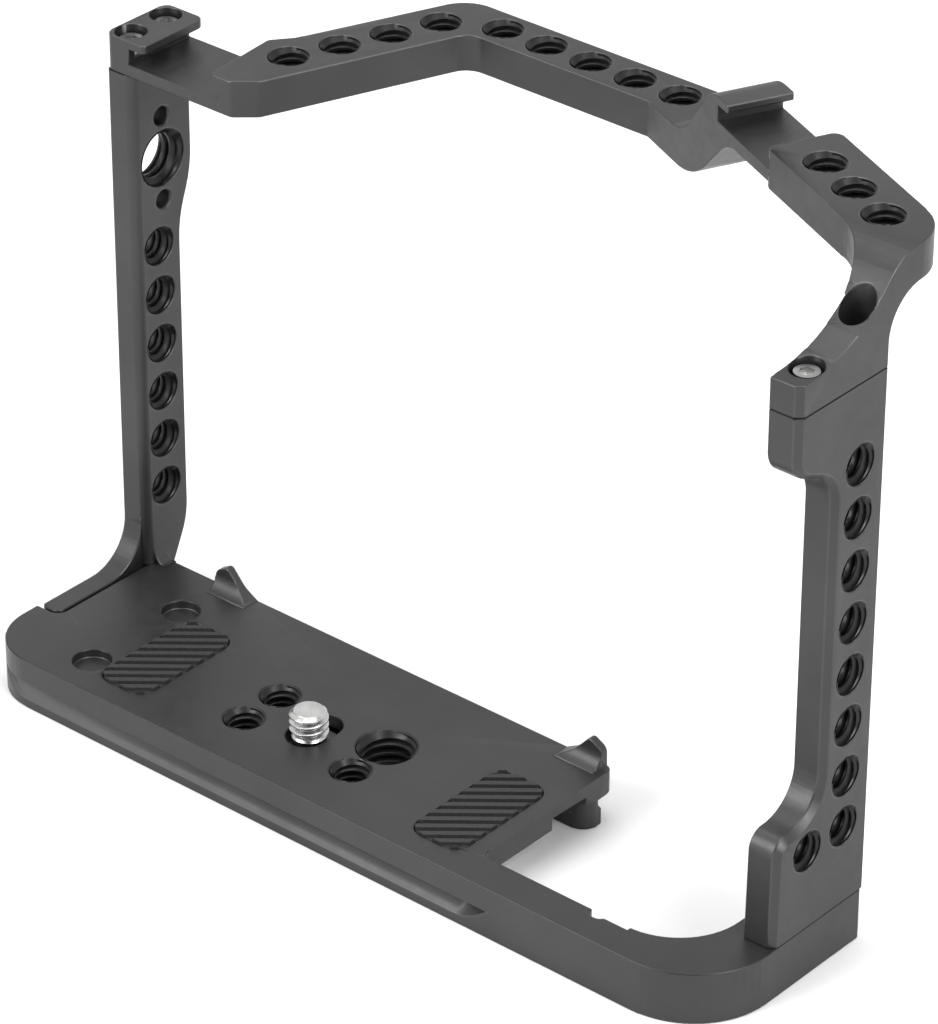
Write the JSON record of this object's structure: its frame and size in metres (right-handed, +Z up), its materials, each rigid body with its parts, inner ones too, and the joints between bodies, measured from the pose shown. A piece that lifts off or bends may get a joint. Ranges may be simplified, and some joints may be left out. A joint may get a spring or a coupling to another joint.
{
  "type": "camera cage",
  "caption": "Bolted aluminium camera cage: dovetail base with ribbed grip pads and a captive camera screw, side bars full of threaded holes, stepped top frame with shoe slots.",
  "frame": {"origin": "middle of the bounding box at the underside of the base", "axes": "+X to the operator's right, +Y forward along the lens, +Z up"},
  "size_m": [0.152, 0.0812, 0.1178],
  "materials": {
    "anodised_aluminium": "bead-blasted, black anodised",
    "pad_rubber": "moulded, matt, ribbed",
    "adhesive_tape": "double-sided film",
    "stainless_steel": "machined, bright",
    "spring_steel": "stamped"
  },
  "bodies": {
    "cage": {"base_plate": "anodised_aluminium", "left_side_bar": "anodised_aluminium", "right_side_bar": "anodised_aluminium", "top_frame": "anodised_aluminium", "left_grip_pad": "pad_rubber", "right_grip_pad": "pad_rubber", "left_pad_tape": "adhesive_tape", "right_pad_tape": "adhesive_tape", "left_top_screw_rear": "stainless_steel", "left_top_screw_front": "stainless_steel", "right_top_screw_rear": "stainless_steel", "right_top_screw_front": "stainless_steel", "left_foot_screw_rear": "stainless_steel", "left_foot_screw_middle": "stainless_steel", "left_foot_screw_front": "stainless_steel", "right_foot_screw_rear": "stainless_steel", "right_foot_screw_front": "stainless_steel"},
    "washer": {"screw_washer": "spring_steel"},
    "retaining_ring": {"screw_retaining_ring": "spring_steel"},
    "camera_screw": {"camera_screw": "stainless_steel"}
  },
  "joints": [
    {"name": "screw_slide", "type": "slide", "parent": "cage", "child": "washer", "axis": [0, 1, 0], "range_m": [-0.0007, 0.0031]},
    {"name": "screw_drop", "type": "slide", "parent": "washer", "child": "retaining_ring", "axis": [0, 0, 1], "range_m": [-0.003, 0]},
    {"name": "screw_spin", "type": "hinge", "parent": "retaining_ring", "child": "camera_screw", "pos_m": [-0.0162, -0.02635, 0.0091], "axis": [0, 0, 1], "continuous": true}
  ]
}
